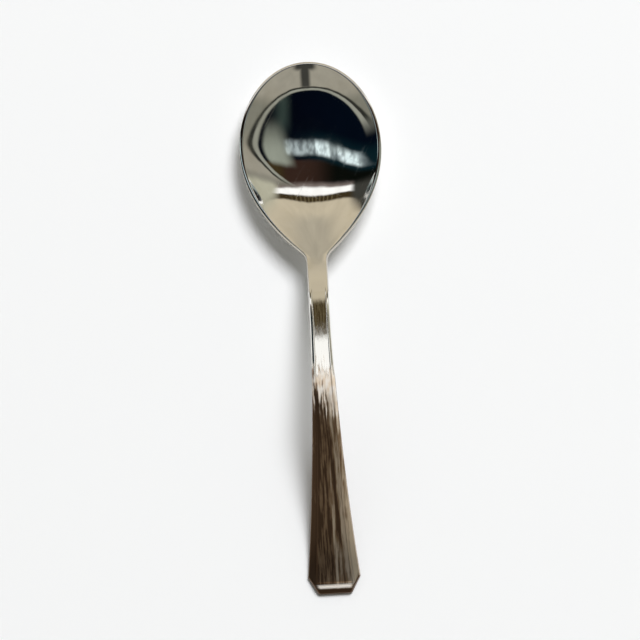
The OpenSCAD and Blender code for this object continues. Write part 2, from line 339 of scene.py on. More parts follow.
def column_shares():
    """Shares across a border: bead, crest and falling shoulder."""
    bead = np.linspace(0, CREST_SHARE, BEAD_COLUMNS + 1)[1:]
    crest = np.linspace(CREST_SHARE, SHOULDER_SHARE, CREST_COLUMNS + 1)[1:]
    slope = np.linspace(SHOULDER_SHARE, 1, SLOPE_COLUMNS + 1)[1:]
    return np.concatenate([bead, crest, slope])


def columns(s, half):
    """Distance of each column from the centre line. Beyond the panel's ends the columns keep their shares."""
    inside = np.clip(s, NECK_AT, END_BORDER_AT)
    line = (half(s) * panel_half(inside) / half(inside))[:, None]
    border = line + column_shares()[None, :] * (half(s)[:, None] - line)
    panel = line * np.linspace(-1, 1, PANEL_COLUMNS + 1)[None, :]
    return np.concatenate([-border[:, ::-1], panel, border], axis=1)


def spoon_grid(s):
    """Points of one closed ring for each station: top, right edge, underside and left edge."""
    t = inner_at(s)[:, None]
    top_x = columns(s, inner_half)
    width = inner_half(s)[:, None]
    q = np.where(width > 0, top_x / np.where(width > 0, width, 1), 0)
    top = np.stack(
        [top_x, SPOON_L / 2 - t + 0 * top_x, top_line(t) - hollow(t) * wall(q, t) + relief(top_x, t)], axis=2
    )
    under_x = columns(s, outer_half)
    width = outer_half(s)[:, None]
    q = np.where(width > 0, under_x / np.where(width > 0, width, 1), 0)
    f = climb(s, RIM_MERGE_AT, THICKEST_AT)[:, None]
    dish = (1 - f) * wall(q, s[:, None]) + f * (1 - np.abs(q) ** KEEL_POWER)
    lower = (top_line(s) - edge_h(s))[:, None]
    under_y = SPOON_L / 2 - s[:, None] + 0 * under_x
    under = np.stack([under_x, under_y, lower - keel(s)[:, None] * dish], axis=2)
    turn = np.linspace(0, math.pi / 2, EDGE_COLUMNS + 1)[1:]
    edges = []
    for inner, outer_x in ((top[:, -1:], under_x[:, -1:]), (top[:, :1], under_x[:, :1])):
        x = inner[..., 0] + (outer_x - inner[..., 0]) * np.sin(turn)
        y = inner[..., 1] + (SPOON_L / 2 - s[:, None] - inner[..., 1]) * np.sin(turn)
        z = inner[..., 2] - (inner[..., 2] - lower) * ROUND_SHARE * (1 - np.cos(turn))
        edges.append(np.stack([x, y, z], axis=2))
    right, left = edges
    grid = np.concatenate([top, right, under[:, ::-1], left[:, ::-1]], axis=1)
    return rounded_end(grid, s)


def rounded_end(grid, s):
    """Draws the last rows in towards the middle of the end face, for a rounded edge."""
    past = np.clip((s - (SPOON_L - END_ROUND)) / END_ROUND, 0, 1)
    inset = (END_ROUND * (1 - np.sqrt(1 - past**2)))[:, None]
    middle = HANDLE_T / 2
    grid[..., 2] = np.where(inset > 0, middle + (grid[..., 2] - middle) * (1 - inset / middle), grid[..., 2])
    grid[..., 0] *= 1 - inset / (END_W / 2)
    return grid


def direction(before, here, after):
    """Direction of a curve at its middle point of three, whatever their spacing."""
    a = np.linalg.norm(here - before, axis=-1, keepdims=True) + TINY
    b = np.linalg.norm(after - here, axis=-1, keepdims=True) + TINY
    return (here - before) * b / (a * (a + b)) + (after - here) * a / (b * (a + b))


def grid_normals(grid):
    """Outward normals of the whole surface, so that the pieces shade as one where they meet."""
    around = direction(np.roll(grid, 1, axis=1), grid, np.roll(grid, -1, axis=1))
    mirrored = grid[1:2] * np.array([-1, 1, 1])
    mirrored = mirrored[:, mirror_order(grid.shape[1])]
    before = np.concatenate([mirrored, grid[:-1]])
    after = np.concatenate([grid[1:], grid[-1:]])
    along = direction(before, grid, after)
    along[-1] = grid[-1] - grid[-2]
    normals = np.cross(along, around)
    length = np.linalg.norm(normals, axis=2, keepdims=True)
    normals = normals / np.where(length > 0, length, 1)
    m = half_ring()
    middle = m // 2
    normals[0, :m] = normals[1, middle]
    under = m + EDGE_COLUMNS
    normals[0, under : under + m] = normals[1, under + middle]
    return normals


def half_ring():
    return PANEL_COLUMNS + 1 + 2 * len(column_shares())


def mirror_order(n):
    """For each place in a ring, the place that mirrors it left to right."""
    m = half_ring()
    return (m - 1 - np.arange(n)) % n


STATIONS, ROW = row_stations()
GRID = spoon_grid(STATIONS)
NORMALS = grid_normals(GRID)
RING = GRID.shape[1]
TOP = half_ring()
UNDER = TOP + EDGE_COLUMNS
PANEL_START = len(column_shares())
PANEL_END = PANEL_START + PANEL_COLUMNS


def under_place(i):
    """Place in the ring of the underside's point below column i of the top."""
    return UNDER + TOP - 1 - i


def cap_triangles(ring, m):
    """Triangles that close a ring whose first m places are its top and whose next run is its right edge."""
    right = ring.index(under_place(ring[m - 1])) - m
    left = len(ring) - 2 * m - right
    under = 2 * m + right - 1
    faces = []
    for i in range(m - 1):
        faces.append((i, i + 1, under - i - 1))
        faces.append((i, under - i - 1, under - i))
    faces += [(m + right, m - 1 + k, m + k) for k in range(right)]
    faces += [(under, under + k, (under + k + 1) % len(ring)) for k in range(1, left + 1)]
    return faces


def make_piece(name, first, last, start=0, end=None):
    """A closed piece from row first to row last, and from column start to column end of the top."""
    end = TOP - 1 if end is None else end
    ring = list(range(start, end + 1))
    if end == TOP - 1:
        ring += range(TOP, UNDER)
    ring += range(under_place(end), under_place(start) + 1)
    if start == 0:
        ring += range(UNDER + TOP, RING)
    rows = list(range(first, last + 1))
    ids = np.arange(len(rows) * len(ring)).reshape(len(rows), len(ring))
    if first == 0:
        join_tip(ids, ring)
    faces = []
    smooth = []
    for j in range(len(rows) - 1):
        for i in range(len(ring)):
            k = (i + 1) % len(ring)
            corners = [ids[j, i], ids[j + 1, i], ids[j + 1, k], ids[j, k]]
            corners = list(dict.fromkeys(int(c) for c in corners))
            if len(corners) > 2:
                faces.append(corners)
                smooth.append((ring[k] - ring[i]) % RING == 1)
    m = end - start + 1
    for row, flip in ((0, False), (len(rows) - 1, True)):
        if row == 0 and first == 0:
            continue
        for face in cap_triangles(ring, m):
            face = face[::-1] if flip else face
            faces.append([int(ids[row, i]) for i in face])
            smooth.append(False)
    points = GRID[first : last + 1][:, ring].reshape(-1, 3) * MM
    normals = NORMALS[first : last + 1][:, ring].reshape(-1, 3)
    return finish_mesh(name, points, normals, faces, smooth)


def join_tip(ids, ring):
    """Gives the places of the first row that share a point the same number."""
    for i, place in enumerate(ring):
        if place < TOP:
            ids[0, i] = ids[0, 0]
        elif UNDER <= place < UNDER + TOP:
            ids[0, i] = ids[0, ring.index(UNDER)]
        elif place >= UNDER + TOP:
            ids[0, i] = ids[0, ring.index(TOP + RING - 1 - place)]


def finish_mesh(name, points, normals, faces, smooth):
    used = sorted({i for f in faces for i in f})
    number = {old: new for new, old in enumerate(used)}
    faces = [[number[i] for i in f] for f in faces]
    mesh = bpy.data.meshes.new(name)
    mesh.from_pydata(points[used].tolist(), [], faces)
    mesh.update()
    mesh.polygons.foreach_set("use_smooth", [True] * len(faces))
    custom = []
    for polygon, is_smooth in zip(mesh.polygons, smooth):
        for v in polygon.vertices:
            custom.append(normals[used[v]] if is_smooth else polygon.normal)
    mesh.normals_split_custom_set([tuple(n) for n in custom])
    piece = bpy.data.objects.new(name, mesh)
    bpy.context.scene.collection.objects.link(piece)
    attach(piece, "root")
    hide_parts(name)
    return piece


# Colours that the metal mirrors
CEILING = (0.001, 0.003, 0.008)
TEAL_CEILING = (0.001, 0.002, 0.006)
TEAL = (0.035, 0.055, 0.052)
DEEP_TEAL = (0.003, 0.014, 0.02)
PANE = (0.82, 0.98, 1.04)
GREEN_GREY = (0.3, 0.33, 0.285)
DARK_WALL = (0.003, 0.004, 0.003)
RED_WALL = (0.036, 0.019, 0.014)
PINK_GREY = (0.2, 0.165, 0.155)
WHITE = (1.1, 1.11, 1.13)
OLIVE = (0.045, 0.031, 0.013)
LIGHT_OLIVE = (0.125, 0.1, 0.054)
BRIGHT_CREAM = (0.585, 0.52, 0.4)
CREAM = (0.445, 0.405, 0.325)
DULL_CREAM = (0.385, 0.355, 0.285)
GREEN_CREAM = (0.48, 0.475, 0.38)
WALL = (0.345, 0.33, 0.28)
SHADED_WALL = (0.22, 0.22, 0.185)
PALE_LINE = (0.32, 0.33, 0.29)
DARK_GAP = (0.028, 0.029, 0.025)
DARK_SPOT = (0.05, 0.05, 0.045)

# Silver, the film on it, the table, and colours for painted shade and painted highlights on the metal
POLISHED = (0.9, 0.88, 0.83)
SMUDGED = (0.85, 0.82, 0.75)
SILVER = (0.87, 0.85, 0.79)
# Near-white for painted highlights on the handle
PAINTED_HIGHLIGHT = (0.95, 0.9, 0.84)
# Painted shade for the rim's sideways faces
RIM_SHADE = (0.45, 0.4, 0.33)
PALE_FILM = (0.84, 0.7, 0.55)
BROWN_FILM = (0.34, 0.225, 0.14)
# Dark film, also used as painted shade on the handle's sides and round its end
DARK_FILM_AND_SHADE = (0.12, 0.071, 0.042)
TABLE = (0.925, 0.934, 0.954)

# Polish. A scale is roughly the number of a pattern's spots in a metre, across and along where it has two
# numbers. A pair of edges is where a soft change begins and where it ends. Turns are in radians.
SMUDGE_SCALE = 90
SMUDGE_EDGES = (0.48, 0.72)
UNEVEN_SCALE = 110
UNEVEN_H = 0.4
UNEVEN_SHARE = 0.06
HAIRLINE_SCALE = (2600, 60)
HAIRLINE_SOFT = 0.02
HAIRLINE_TURNS = (0.5, -0.9)
HAIRLINE_SHARES = (0.3, 0.28)
SCRATCH_DEPTH_SHARE = 0.008
POLISH_ROUGHNESS = 0.035
SMUDGE_ROUGHNESS = 0.05
SCRATCH_ROUGHNESS = 0.09
# Painted shade: faces that turn sideways, mostly the rim's outer edge, are darkened in place of the shadowed
# table they mirror
RIM_FACING = (-0.3, 0.6, 0.12)
RIM_SHADE_SHARE = 0.8

# Patterns of the film on the handle
WIDE_SCALE = (420, 16)
FINE_SCALE = (1500, 110)
PATCH_SCALE = (900, 300)

# Start of the film, as Y of its edges. The patterns make the edges ragged, and shift them down the handle by
# half of the ragged lengths on average.
RAGGED_FINE = 30
RAGGED_PATCHES = 10
RAGGED_SLANT = 0.8
COVER_FINE = 12
FRAME_Y = SPOON_L / 2 - FRAME_AT
WORN_EDGES = (FRAME_Y + 24.5, FRAME_Y + 16.8)
# Painted highlight where the film begins on the stem
STEM_HIGHLIGHT_EDGES = (FRAME_Y + 7, FRAME_Y + 16.8)
COVER_EDGES = (FRAME_Y + 9.5, FRAME_Y + 6.5)

# Tone of the film: a low tone is dark and a high one is pale. A shade gain is painted shade: the gain in tone
# from left to right over a metre, which darkens the left side and lightens the right.
TONE_SHIFT = -0.475
PANEL_SHIFT = -0.06
BORDER_SHADE_GAIN = 45
PANEL_SHADE_GAIN = 20
WIDE_SHARE = 0.9
FINE_SHARE = 0.8
PATCH_SHARE = 0.25
# Painted highlight: the film is paler where it begins on the stem
STEM_HIGHLIGHT_GAIN = 0.38
END_GAIN = 0.08
END_EDGES = (-50, -80)
BROWN_TONES = (0.36, 0.52)
PALE_TONES = (0.52, 0.78)
# Painted highlight: near-white patches where the film begins on the stem
HIGHLIGHT_PATCHES = (0.3, 0.72)
# Painted shade: faces of the handle turned sideways or down are darkened
SHADED_SIDE_FACING = (0.5, 0.3)
GROOVE_FILM_SHARE = 0.45

# Gloss of the film. The painted highlights on the stem and on the end bar are partly matt, so the lamp lights
# their pale colour
STEM_HIGHLIGHT_MATT_SHARE = 0.65
FILM_MATT_SHARE = 0.1
HIGHLIGHT_BAR_MATT_SHARE = 0.6
FILM_ROUGHNESS = 0.345
BARE_ROUGHNESS = 0.035
FILM_H = 0.12
FILM_BUMP_SHARE = 0.1
PATCH_BUMP_SHARE = 0.5

# Groove along the panel's edge, outwards from it: where it begins, where it ends and how soft its sides are
GROOVE = (-0.1, 0.3, 0.2)

# Streaks of the film, from left to right: where each begins, where it ends and how soft its sides are
STREAK_SLANT = 0.068
STREAK_SHIFT = 0.88
FIRST_STREAK = (-0.5, 0.5, 0.4)
SECOND_STREAK = (0.4, 1.3, 0.3)
SECOND_STREAK_EDGES = (-45, -55)
DARK_STREAK = (-1.8, -0.9, 0.3)
OUTER_STREAK = (1.2, 1.8, 0.3)
PALE_STREAK_GAIN = 0.17
DARK_STREAK_GAIN = -0.2

# Painted highlight on a bar across the handle's end and painted shade on the slope round the end and its
# corners, as distances from the end, and from the side of the outline for side edges
HIGHLIGHT_BAR = (1.4, 2.7, 0.3)
HIGHLIGHT_BAR_SIDE_EDGES = (0.4, 1.8)
SHADED_CORNER_SIDE_EDGES = (0.8, 0.4)
SHADED_CORNER_EDGES = (5.8, 5)
SHADED_SLOPE_EDGES = (1.4, 1.1)


class Nodes:
    """Short calls for building a node tree."""

    def __init__(self, tree):
        self.tree = tree

    def add(self, kind, settings=None, **inputs):
        node = self.tree.nodes.new(kind)
        for key, value in (settings or {}).items():
            setattr(node, key, value)
        for key, value in inputs.items():
            self.put(node.inputs[key.replace("_", " ")], value)
        return node

    def put(self, socket, value):
        if isinstance(value, bpy.types.NodeSocket):
            self.tree.links.new(value, socket)
        else:
            socket.default_value = value

    def math(self, operation, *values, clamp=False):
        node = self.add("ShaderNodeMath", {"operation": operation, "use_clamp": clamp})
        for socket, value in zip(node.inputs, values):
            self.put(socket, value)
        return node.outputs[0]

    def times(self, a, b):
        return self.math("MULTIPLY", a, b)

    def most(self, a, b):
        return self.math("MAXIMUM", a, b)

    def scaled(self, value, factor, rest):
        """The value times the factor, plus the rest."""
        return self.math("MULTIPLY_ADD", value, factor, rest)

    def step(self, value, low, high):
        """Smooth 0 to 1 as value goes from low to high. Low may be the larger of the two."""
        node = self.add("ShaderNodeMapRange", {"interpolation_type": "SMOOTHSTEP"})
        for key, entry in (("Value", value), ("From Min", low), ("From Max", high)):
            self.put(node.inputs[key], entry)
        return node.outputs[0]

    def band(self, value, low, high, soft):
        """1 where the value lies between low and high, with soft ends."""
        above = self.step(value, low - soft, low + soft)
        return self.math("SUBTRACT", above, self.step(value, high - soft, high + soft))

    def noise(self, vector, scale, detail):
        node = self.add("ShaderNodeTexNoise", Vector=vector, Scale=scale, Detail=detail)
        return node.outputs[0]

    def mix(self, share, a, b):
        node = self.add("ShaderNodeMix", {"data_type": "RGBA"})
        self.put(node.inputs[0], share)
        for socket, value in ((node.inputs[6], a), (node.inputs[7], b)):
            self.put(socket, value if isinstance(value, bpy.types.NodeSocket) else (*value, 1))
        return node.outputs[2]


def metres(lengths):
    return [length * MM for length in lengths]


def start_material(name):
    """A material's node calls, its shader, and places on the spoon in metres."""
    material = bpy.data.materials.new(name)
    material.use_nodes = True
    nodes = Nodes(material.node_tree)
    shader = material.node_tree.nodes["Principled BSDF"]
    place = nodes.add("ShaderNodeTexCoord").outputs["Object"]
    return material, nodes, shader, place


def stretched(nodes, place, turn, across, along):
    """Places turned about Z and squeezed, so that a pattern on them runs in lines."""
    about_z = {"rotation_type": "Z_AXIS"}
    turned = nodes.add("ShaderNodeVectorRotate", about_z, Vector=place, Angle=turn).outputs[0]
    return nodes.add("ShaderNodeMapping", Vector=turned, Scale=(across, along, 0)).outputs[0]


def hairlines(nodes, place, turn, share):
    """Thin scratches in one direction: 1 on a scratch and 0 elsewhere."""
    lines = nodes.noise(stretched(nodes, place, turn, *HAIRLINE_SCALE), 1, 1)
    return nodes.step(lines, 1 - share, 1 + HAIRLINE_SOFT - share)


def upward(nodes):
    """How far the surface faces up: 1 on top, 0 at the sides and -1 below."""
    facing = nodes.add("ShaderNodeNewGeometry").outputs["Normal"]
    return nodes.add("ShaderNodeSeparateXYZ", Vector=facing).outputs[2]


def bump(nodes, shader, height, strength, size):
    node = nodes.add("ShaderNodeBump", Height=height, Strength=strength, Distance=size * MM)
    nodes.put(shader.inputs["Normal"], node.outputs[0])


def make_polished():
    """Mirror polish with faint smudges, a slightly uneven surface and crossing hairline scratches, and
    painted shade on faces that turn sideways, mostly the rim's outer edge.
    """
    material, nodes, shader, place = start_material("polished_silver")
    smudge = nodes.step(nodes.noise(place, SMUDGE_SCALE, 3), *SMUDGE_EDGES)
    scratch = nodes.most(*[hairlines(nodes, place, *line) for line in zip(HAIRLINE_TURNS, HAIRLINE_SHARES)])
    colour = nodes.mix(smudge, POLISHED, SMUDGED)
    # Painted shade: sideways faces, mostly the rim's outer edge, are darkened in place of the shadowed table
    # they mirror
    rim = nodes.times(nodes.band(upward(nodes), *RIM_FACING), RIM_SHADE_SHARE)
    nodes.put(shader.inputs["Base Color"], nodes.mix(rim, colour, RIM_SHADE))
    shader.inputs["Metallic"].default_value = 1
    rough = nodes.scaled(smudge, SMUDGE_ROUGHNESS, POLISH_ROUGHNESS)
    nodes.put(shader.inputs["Roughness"], nodes.scaled(scratch, SCRATCH_ROUGHNESS, rough))
    uneven = nodes.scaled(scratch, -SCRATCH_DEPTH_SHARE, nodes.noise(place, UNEVEN_SCALE, 1))
    bump(nodes, shader, uneven, UNEVEN_SHARE, UNEVEN_H)
    return material


def make_handle(name, shift, shade_gain):
    """Worn silver under a brown film in streaks along the handle, with painted shade and painted highlights.
    The tone darkens towards the left side, the sides and the slope round the end are dark, and the film's
    start on the stem and a bar across the end are painted bright.
    """
    material, nodes, shader, place = start_material(name)
    across, along, _ = nodes.add("ShaderNodeSeparateXYZ", Vector=place).outputs
    wide = nodes.noise(stretched(nodes, place, 0, *WIDE_SCALE), 1, 2)
    fine = nodes.noise(stretched(nodes, place, 0, *FINE_SCALE), 1, 3)
    patches = nodes.noise(stretched(nodes, place, 0, *PATCH_SCALE), 1, 3)
    worn, stem_highlight = film_start(nodes, across, along, fine, patches)
    tone = nodes.scaled(wide, WIDE_SHARE, nodes.scaled(fine, FINE_SHARE, shift + TONE_SHIFT))
    # Painted shade: the tone darkens towards the left side and lightens towards the right
    tone = nodes.scaled(patches, PATCH_SHARE, nodes.scaled(across, shade_gain, tone))
    # Painted highlight: paler film where it begins on the stem
    tone = nodes.scaled(stem_highlight, STEM_HIGHLIGHT_GAIN, tone)
    tone = nodes.math("ADD", streaks(nodes, across, along), tone)
    tone = nodes.scaled(nodes.step(along, *metres(END_EDGES)), END_GAIN, tone)
    colour = nodes.mix(nodes.step(tone, *BROWN_TONES), DARK_FILM_AND_SHADE, BROWN_FILM)
    colour = nodes.mix(nodes.step(tone, *PALE_TONES), colour, PALE_FILM)
    # Painted highlight: near-white patches where the film begins on the stem
    colour = nodes.mix(nodes.times(stem_highlight, nodes.step(patches, *HIGHLIGHT_PATCHES)), colour, PAINTED_HIGHLIGHT)
    colour = nodes.mix(nodes.times(panel_edge(nodes, across, along), GROOVE_FILM_SHARE), colour, DARK_FILM_AND_SHADE)
    # Painted shade: faces turned sideways or down, and the slope round the end and its corners, take the dark
    # colour
    side = nodes.step(upward(nodes), *SHADED_SIDE_FACING)
    bar, slope = end_lines(nodes, across, along)
    colour = nodes.mix(nodes.most(side, slope), colour, DARK_FILM_AND_SHADE)
    # Painted highlight: the bar across the end takes a near-white colour
    colour = nodes.mix(bar, colour, PAINTED_HIGHLIGHT)
    nodes.put(shader.inputs["Base Color"], nodes.mix(worn, SILVER, colour))
    # The painted highlight on the stem is partly matt, so the lamp lights its pale colour
    matt = nodes.times(worn, nodes.scaled(stem_highlight, STEM_HIGHLIGHT_MATT_SHARE, FILM_MATT_SHARE))
    # The bar's painted highlight is partly matt, so the lamp lights its pale colour
    matt = nodes.most(matt, nodes.times(bar, HIGHLIGHT_BAR_MATT_SHARE))
    nodes.put(shader.inputs["Metallic"], nodes.math("SUBTRACT", 1, matt))
    nodes.put(shader.inputs["Roughness"], nodes.scaled(worn, FILM_ROUGHNESS, BARE_ROUGHNESS))
    bump(nodes, shader, nodes.scaled(patches, PATCH_BUMP_SHARE, fine), FILM_BUMP_SHARE, FILM_H)
    return material


def film_start(nodes, across, along, fine, patches):
    """1 where the film covers the metal, and 1 where it begins on the stem and carries a painted highlight:
    pale, matt film with near-white patches.
    """
    ragged = nodes.scaled(patches, RAGGED_PATCHES * MM, nodes.scaled(fine, RAGGED_FINE * MM, along))
    ragged = nodes.scaled(across, RAGGED_SLANT, ragged)
    cover = nodes.step(nodes.scaled(fine, COVER_FINE * MM, along), *metres(COVER_EDGES))
    worn = nodes.most(nodes.step(ragged, *metres(WORN_EDGES)), cover)
    return worn, nodes.step(ragged, *metres(STEM_HIGHLIGHT_EDGES))


def panel_edge(nodes, across, along):
    """1 in the groove between the panel and its borders, where the film gathers, and 0 elsewhere."""
    past = nodes.math("SUBTRACT", (SPOON_L / 2 - FLARE_AT) * MM, along)
    share = nodes.most(nodes.math("DIVIDE", past, (SHOULDER_AT - FLARE_AT) * MM), 0)
    wider = nodes.math("POWER", share, FLARE_POWER)
    kept = (1 - BORDER_W / (HANDLE_W / 2)) / 2 * MM
    half = nodes.scaled(wider, (HANDLE_W - NECK_W) * kept, NECK_W * kept)
    gap = nodes.math("SUBTRACT", nodes.math("ABSOLUTE", across), half)
    return nodes.band(gap, *metres(GROOVE))


def streaks(nodes, across, along):
    """Change of tone on the streaks: a slanted pale one between two dark ones, and a straight pale one."""
    slanted = nodes.math("ADD", nodes.scaled(along, STREAK_SLANT, across), STREAK_SHIFT * MM)
    first = nodes.band(slanted, *metres(FIRST_STREAK))
    low_down = nodes.step(along, *metres(SECOND_STREAK_EDGES))
    second = nodes.times(nodes.band(across, *metres(SECOND_STREAK)), low_down)
    dark = nodes.band(slanted, *metres(DARK_STREAK))
    outer = nodes.band(slanted, *metres(OUTER_STREAK))
    pale = nodes.times(nodes.most(first, second), PALE_STREAK_GAIN)
    return nodes.scaled(nodes.most(dark, outer), DARK_STREAK_GAIN, pale)


def end_lines(nodes, across, along):
    """1 on the bar across the end, which gets a painted highlight, and 1 on the slope that runs round the end
    and its corners, which gets painted shade.
    """
    to_end = nodes.math("ADD", along, SPOON_L / 2 * MM)
    taper = (HANDLE_W - END_W) / 2 / CORNER_L
    edge = nodes.scaled(to_end, taper, END_W / 2 * MM)
    to_edge = nodes.math("SUBTRACT", edge, nodes.math("ABSOLUTE", across))
    bar = nodes.times(nodes.band(to_end, *metres(HIGHLIGHT_BAR)), nodes.step(to_edge, *metres(HIGHLIGHT_BAR_SIDE_EDGES)))
    beside = nodes.step(to_edge, *metres(SHADED_CORNER_SIDE_EDGES))
    corner = nodes.times(beside, nodes.step(to_end, *metres(SHADED_CORNER_EDGES)))
    return bar, nodes.most(corner, nodes.step(to_end, *metres(SHADED_SLOPE_EDGES)))


polished = make_polished()
handle_finish = make_handle("handle_silver", 0, BORDER_SHADE_GAIN)
panel_finish = make_handle("panel_silver", PANEL_SHIFT, PANEL_SHADE_GAIN)

bowl = make_piece("bowl", 0, ROW["bowl"])
neck = make_piece("neck", ROW["bowl"], ROW["neck"])
stem = make_piece("stem", ROW["neck"], ROW["stem"])
panel = make_piece("handle_panel", ROW["stem"], ROW["corner"], PANEL_START, PANEL_END)
left = make_piece("left_border", ROW["stem"], ROW["corner"], 0, PANEL_START)
right = make_piece("right_border", ROW["stem"], ROW["corner"], PANEL_END)
end = make_piece("end_border", ROW["corner"], ROW["round"])
for piece in (bowl, neck):
    piece.data.materials.append(polished)
for piece in (stem, left, right, end):
    piece.data.materials.append(handle_finish)
panel.data.materials.append(panel_finish)


# Table, camera and lamp, which has its strength in watts
TABLE_HALF = 6000
CAMERA_PLACE = (-5.6, -303.6, 1061.5)
CAMERA_TARGET = (0, 0, 8)
CAMERA_UP = (0.0541, 0.9985, 0)
SENSOR_W = 36
LENS_L = 190
NEAREST = 10
FARTHEST = 50000
LAMP_PLACE = (1400, 2000, 5200)
LAMP_W = 2600
LAMP_WATTS = 301


def make_floor():
    size = TABLE_HALF * MM
    mesh = bpy.data.meshes.new("floor")
    corners = [(-size, -size, 0), (size, -size, 0), (size, size, 0), (-size, size, 0)]
    mesh.from_pydata(corners, [], [(0, 1, 2, 3)])
    floor = bpy.data.objects.new("floor", mesh)
    bpy.context.scene.collection.objects.link(floor)
    material = bpy.data.materials.new("floor")
    material.use_nodes = True
    shader = material.node_tree.nodes["Principled BSDF"]
    shader.inputs["Base Color"].default_value = (*TABLE, 1)
    shader.inputs["Roughness"].default_value = 1
    shader.inputs["Specular IOR Level"].default_value = 0
    mesh.materials.append(material)


def make_camera():
    """The camera looks down at the spoon from 74 degrees above the table, 1.1 metres away."""
    place = Vector(CAMERA_PLACE) * MM
    target = Vector(CAMERA_TARGET) * MM
    image_up = Vector(CAMERA_UP)
    data = bpy.data.cameras.new("camera")
    data.sensor_width = SENSOR_W
    data.lens = LENS_L
    camera = bpy.data.objects.new("camera", data)
    bpy.context.scene.collection.objects.link(camera)
    back = (place - target).normalized()
    across = image_up.cross(back).normalized()
    up = back.cross(across)
    turn = Matrix((across, up, back)).transposed().to_4x4()
    camera.matrix_world = Matrix.Translation(place) @ turn
    data.clip_start = NEAREST * MM
    data.clip_end = FARTHEST * MM
    bpy.context.scene.camera = camera


# Shapes that the metal mirrors. Each is placed by the direction in which the spoon sees it, as an arrow one
# unit long: X is the arrow's part across the spoon and Y its part along it. A pair of numbers is where a soft
# edge begins and where it ends. Three numbers are where a band begins and ends and how soft its ends are.
WAVE_SCALE = 6
WAVE_H = 0.02
CLOUD_SCALE = 5
CLOUD_SHARE = 0.3

# Ceiling
CEILING_X = (-0.7, 0.4)
GLOW_X = (0.42, 0.62, 0.12)
GLOW_Y = (-0.34, 0.12, 0.12)

# Strips of the far wall, in their order from the ceiling down
STRIP_BEND = -0.115
STRIP_TILT = 0.02
BROWN_Y = (0.34, 0.36)
BROWN_X = (-0.5, 0.1)
OLIVE_X = (0.45, 0.62)
PINK_Y = (0.505, 0.555)
WHITE_Y = (0.55, 0.58)
RAIL_Y = (0.63, 0.652)
TICK_RATE = 75
TICK_EDGES = (0, 0.9)
TICKS_X = (-0.45, 0.42, 0.1)
BRIGHT_Y = (0.69, 0.715)
CREAM_Y = (0.78, 0.88)
DULL_Y = (0.92, 1)
PALE_SIDE_X = (0.58, 0.7)
PALE_SIDE_Y = (0.49, 0.54)
DARK_SIDE_SLANT = -0.45
DARK_SIDE_X = (-0.94, -1)
DARK_SIDE_Y = (0.52, 0.55)
DARK_SIDE_PALER_Y = (0.58, 0.66)

# Row of panes. A bright pane is a band across, with a share of the full brightness.
PANES_BEND = -0.29
PANES_X = (-0.5, 0.5, 0.05)
PANES_TOP_Y = (0.18, 0.25)
PANES_FOOT_Y = (0.295, 0.335)
PANES_SHARE = 0.42
BRIGHT_PANES_X = ((-0.81, -0.49, 0.05), (-0.37, -0.09, 0.03), (0.37, 0.47, 0.04))
BRIGHT_PANES_SHARES = (0.9, 1, 0.8)
SPOT_SCALE = (13, 15, 0)
SPOT_EDGES = (0.3, 0.68)
SPOT_SHARE = 0.75
LEAST_SPOT_SHARE = 0.5
HAZE_X = (0.5, -0.4)
HAZE_TOP_Y = (0.08, 0.22)
HAZE_FOOT_Y = (0.38, 0.33)

# Oval ring round the ceiling, with the door inside it and the walls outside it
RING_Y = 0.26
RING_FAR_STRETCH = 2.7
RING_NEAR_STRETCH = -1.28
RING_TILT = 0.02
DOOR_SLANT = 0.6
DOOR_X = (0.48, 0.74)
DOOR_RING = (0.84, 0.78)
DOOR_TOP_Y = (-0.05, 0.34)
DOOR_FOOT_Y = (0.37, 0.43)
RING_SIDES_X = (-0.3, 0.3)
LEFT_FOOT_Y = (0.3, 0.06)
RIGHT_FOOT_Y = (0.59, 0.49)
LINE_RING = (0.85, 0.875)
GAP_RING = (0.9, 0.915)
WALL_RING = (0.93, 0.955)
SHADE_Y = (-0.2, 0.25, 0.1)
POST_X = (-0.07, 0.13, 0.05)
POST_Y = (-0.42, -0.5)
CROSSBAR_X = (-0.2, 0.27, 0.08)
CROSSBAR_Y = (-0.7, -0.78)


def make_world():
    """What the metal mirrors in each direction: dark ceiling, window panes, bright strip and pale walls."""
    world = bpy.data.worlds.new("studio")
    bpy.context.scene.world = world
    world.use_nodes = True
    nodes = Nodes(world.node_tree)
    sky = nodes.add("ShaderNodeTexCoord").outputs["Generated"]
    across, along, _ = nodes.add("ShaderNodeSeparateXYZ", Vector=sky).outputs
    along = nodes.math("ADD", along, nodes.scaled(nodes.noise(sky, WAVE_SCALE, 2), WAVE_H, -WAVE_H / 2))
    square = nodes.times(across, across)
    colour = add_ceiling(nodes, across, along)
    colour = add_strips(nodes, colour, across, along, square)
    colour = add_panes(nodes, colour, sky, across, along)
    ring = ring_distance(nodes, across, along, square)
    colour = add_door(nodes, colour, across, along, ring)
    colour = add_ring(nodes, colour, across, along, ring)
    cloud = nodes.scaled(nodes.noise(sky, CLOUD_SCALE, 3), CLOUD_SHARE, 1 - CLOUD_SHARE / 2)
    scaled = nodes.add("ShaderNodeVectorMath", {"operation": "SCALE"})
    nodes.put(scaled.inputs[0], colour)
    nodes.put(scaled.inputs["Scale"], cloud)
    nodes.put(world.node_tree.nodes["Background"].inputs["Color"], scaled.outputs[0])


def add_ceiling(nodes, across, along):
    colour = nodes.mix(nodes.step(across, *CEILING_X), CEILING, TEAL_CEILING)
    glow = nodes.times(nodes.band(across, *GLOW_X), nodes.band(along, *GLOW_Y))
    return nodes.mix(glow, colour, TEAL)


